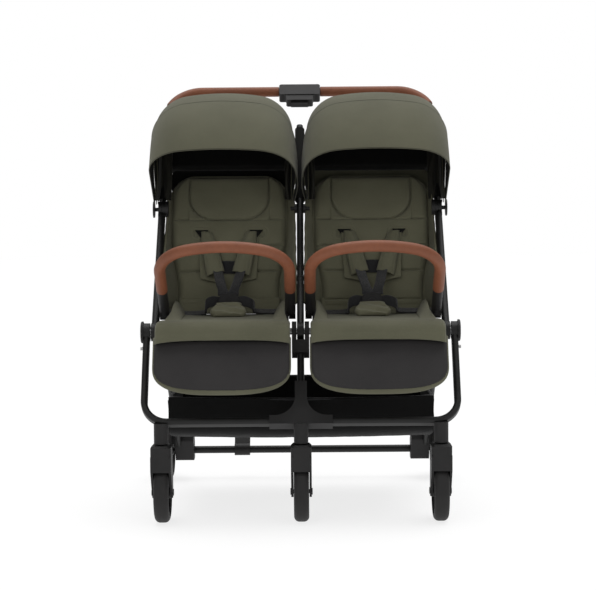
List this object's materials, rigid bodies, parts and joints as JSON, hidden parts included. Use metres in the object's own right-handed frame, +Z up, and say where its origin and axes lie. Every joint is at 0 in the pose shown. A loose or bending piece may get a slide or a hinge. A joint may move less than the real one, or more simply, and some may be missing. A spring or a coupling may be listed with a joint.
{
  "type": "twin stroller",
  "caption": "Folding side-by-side twin stroller with tube frame, two canopied reclining seats, bumper bars, single swivelling front wheels and a basket.",
  "frame": {"origin": "on the floor, under the middle of the whole stroller, unfolded", "axes": "+Z up, the front of the stroller faces -Y, X runs across the two seats"},
  "size_m": [0.774, 0.8414, 1.0696],
  "materials": {
    "frame_black": "satin black powder coat on aluminium tube",
    "steel": "plain steel pins and rods",
    "plastic_black": "fine-textured black plastic",
    "rim_plastic": "black moulded wheel centre",
    "tyre_rubber": "smooth black foam tyre",
    "olive_fabric": "olive woven fabric",
    "leg_rest_cover": "dark grey leatherette with olive binding",
    "tan_leather": "tan leatherette sleeve",
    "black_webbing": "black webbing and olive pads",
    "basket_fabric": "black bag fabric",
    "board": "stiff board under the fabric"
  },
  "bodies": {
    "front_chassis": {"front_frame": "frame_black", "centre_leg_fairing": "plastic_black", "hinge_axle": "steel", "centre_hinge_bracket": "plastic_black", "hinge_covers": "plastic_black", "accessory_studs": "steel", "caster_sockets": "plastic_black", "seat_side_plates": "plastic_black", "back_hinge_rods": "steel", "leg_rest_rods": "steel", "seat_boards": "board", "basket": "basket_fabric", "buckles": "plastic_black", "lap_harness": "black_webbing", "left_seat_cushion": "olive_fabric", "right_seat_cushion": "olive_fabric"},
    "push_frame": {"push_tubes": "frame_black", "centre_post": "frame_black", "canopy_brackets": "plastic_black", "left_canopy_rear": "olive_fabric", "right_canopy_rear": "olive_fabric"},
    "handle": {"handle_tube": "frame_black", "handle_grips": "tan_leather", "handle_block": "plastic_black"},
    "fold_button": {"fold_button": "plastic_black"},
    "rear_frame": {"rear_legs": "frame_black", "rear_axle": "steel", "rear_housings": "plastic_black"},
    "brake_pedal": {"brake_pedal": "plastic_black"},
    "left_seat_back": {"left_back_board": "board", "left_back_pad": "olive_fabric", "left_shoulder_straps": "black_webbing"},
    "left_bumper": {"left_bumper_bar": "tan_leather", "left_bumper_ends": "plastic_black"},
    "left_leg_rest": {"left_leg_rest": "leg_rest_cover"},
    "left_buckle_button": {"left_buckle_button": "plastic_black"},
    "left_visor": {"left_canopy_visor": "olive_fabric"},
    "left_canopy_middle": {"left_canopy_middle": "olive_fabric"},
    "left_rear_wheel": {"left_rear_rim": "rim_plastic", "left_rear_tyre": "tyre_rubber"},
    "right_seat_back": {"right_back_board": "board", "right_back_pad": "olive_fabric", "right_shoulder_straps": "black_webbing"},
    "right_bumper": {"right_bumper_bar": "tan_leather", "right_bumper_ends": "plastic_black"},
    "right_leg_rest": {"right_leg_rest": "leg_rest_cover"},
    "right_buckle_button": {"right_buckle_button": "plastic_black"},
    "right_visor": {"right_canopy_visor": "olive_fabric"},
    "right_canopy_middle": {"right_canopy_middle": "olive_fabric"},
    "right_rear_wheel": {"right_rear_rim": "rim_plastic", "right_rear_tyre": "tyre_rubber"},
    "left_caster": {"left_front_fork": "plastic_black"},
    "left_front_wheel": {"left_front_rim": "rim_plastic", "left_front_tyre": "tyre_rubber"},
    "centre_caster": {"centre_front_fork": "plastic_black"},
    "centre_front_wheel": {"centre_front_rim": "rim_plastic", "centre_front_tyre": "tyre_rubber"},
    "right_caster": {"right_front_fork": "plastic_black"},
    "right_front_wheel": {"right_front_rim": "rim_plastic", "right_front_tyre": "tyre_rubber"}
  },
  "joints": [
    {"name": "frame_fold", "type": "hinge", "parent": "front_chassis", "child": "push_frame", "pos_m": [0, -0.2, 0.446], "axis": [1, 0, 0], "range_deg": [0, 110]},
    {"name": "rear_legs_fold", "type": "hinge", "parent": "front_chassis", "child": "rear_frame", "pos_m": [0, -0.2, 0.446], "axis": [1, 0, 0], "range_deg": [-52, 0]},
    {"name": "handle_fold", "type": "hinge", "parent": "push_frame", "child": "handle", "pos_m": [0, 0.06651, 0.73889], "axis": [1, 0, 0], "range_deg": [-120, 0]},
    {"name": "fold_button_press", "type": "slide", "parent": "handle", "child": "fold_button", "axis": [0, 0.673, 0.7396], "range_m": [0, 0.005], "stiffness_N_per_m": 400, "springref_m": -0.003},
    {"name": "brake_press", "type": "hinge", "parent": "rear_frame", "child": "brake_pedal", "pos_m": [0, 0.34371, 0.077], "axis": [1, 0, 0], "range_deg": [-24, 0]},
    {"name": "left_recline", "type": "hinge", "parent": "front_chassis", "child": "left_seat_back", "pos_m": [0, -0.036, 0.441], "axis": [1, 0, 0], "range_deg": [-42, 26]},
    {"name": "left_bumper_drop", "type": "hinge", "parent": "front_chassis", "child": "left_bumper", "pos_m": [0, -0.175, 0.486], "axis": [1, 0, 0], "range_deg": [0, 12]},
    {"name": "left_leg_rest_tilt", "type": "hinge", "parent": "front_chassis", "child": "left_leg_rest", "pos_m": [0, -0.318, 0.452], "axis": [1, 0, 0], "range_deg": [-55, 0]},
    {"name": "left_visor_fold", "type": "hinge", "parent": "push_frame", "child": "left_visor", "pos_m": [0, 0.06651, 0.73889], "axis": [1, 0, 0], "range_deg": [-56, 0]},
    {"name": "left_canopy_middle_fold", "type": "hinge", "parent": "push_frame", "child": "left_canopy_middle", "pos_m": [0, 0.06651, 0.73889], "axis": [1, 0, 0], "range_deg": [-28, 0]},
    {"name": "left_buckle_press", "type": "slide", "parent": "front_chassis", "child": "left_buckle_button", "axis": [0, 1, 0], "range_m": [0, 0.0025], "stiffness_N_per_m": 500, "springref_m": -0.002},
    {"name": "left_rear_wheel_spin", "type": "hinge", "parent": "rear_frame", "child": "left_rear_wheel", "pos_m": [-0.368, 0.34371, 0.077], "axis": [1, 0, 0], "continuous": true},
    {"name": "right_recline", "type": "hinge", "parent": "front_chassis", "child": "right_seat_back", "pos_m": [0, -0.036, 0.441], "axis": [1, 0, 0], "range_deg": [-42, 26]},
    {"name": "right_bumper_drop", "type": "hinge", "parent": "front_chassis", "child": "right_bumper", "pos_m": [0, -0.175, 0.486], "axis": [1, 0, 0], "range_deg": [0, 12]},
    {"name": "right_leg_rest_tilt", "type": "hinge", "parent": "front_chassis", "child": "right_leg_rest", "pos_m": [0, -0.318, 0.452], "axis": [1, 0, 0], "range_deg": [-55, 0]},
    {"name": "right_visor_fold", "type": "hinge", "parent": "push_frame", "child": "right_visor", "pos_m": [0, 0.06651, 0.73889], "axis": [1, 0, 0], "range_deg": [-56, 0]},
    {"name": "right_canopy_middle_fold", "type": "hinge", "parent": "push_frame", "child": "right_canopy_middle", "pos_m": [0, 0.06651, 0.73889], "axis": [1, 0, 0], "range_deg": [-28, 0]},
    {"name": "right_buckle_press", "type": "slide", "parent": "front_chassis", "child": "right_buckle_button", "axis": [0, 1, 0], "range_m": [0, 0.0025], "stiffness_N_per_m": 500, "springref_m": -0.002},
    {"name": "right_rear_wheel_spin", "type": "hinge", "parent": "rear_frame", "child": "right_rear_wheel", "pos_m": [0.368, 0.34371, 0.077], "axis": [1, 0, 0], "continuous": true},
    {"name": "left_caster_swivel", "type": "hinge", "parent": "front_chassis", "child": "left_caster", "pos_m": [-0.331, -0.333, 0.17], "axis": [0, 0, 1], "continuous": true},
    {"name": "left_front_wheel_spin", "type": "hinge", "parent": "left_caster", "child": "left_front_wheel", "pos_m": [-0.331, -0.303, 0.072], "axis": [1, 0, 0], "continuous": true},
    {"name": "centre_caster_swivel", "type": "hinge", "parent": "front_chassis", "child": "centre_caster", "pos_m": [0, -0.333, 0.17], "axis": [0, 0, 1], "continuous": true},
    {"name": "centre_front_wheel_spin", "type": "hinge", "parent": "centre_caster", "child": "centre_front_wheel", "pos_m": [0, -0.303, 0.072], "axis": [1, 0, 0], "continuous": true},
    {"name": "right_caster_swivel", "type": "hinge", "parent": "front_chassis", "child": "right_caster", "pos_m": [0.331, -0.333, 0.17], "axis": [0, 0, 1], "continuous": true},
    {"name": "right_front_wheel_spin", "type": "hinge", "parent": "right_caster", "child": "right_front_wheel", "pos_m": [0.331, -0.303, 0.072], "axis": [1, 0, 0], "continuous": true}
  ],
  "couplings": [
    {"joint": "rear_legs_fold", "follows": "frame_fold", "ratio": -0.47273},
    {"joint": "handle_fold", "follows": "frame_fold", "ratio": -1.0909},
    {"joint": "left_bumper_drop", "follows": "frame_fold", "ratio": 0.10909},
    {"joint": "left_canopy_middle_fold", "follows": "left_visor_fold", "ratio": 0.5},
    {"joint": "right_bumper_drop", "follows": "frame_fold", "ratio": 0.10909},
    {"joint": "right_canopy_middle_fold", "follows": "right_visor_fold", "ratio": 0.5}
  ]
}
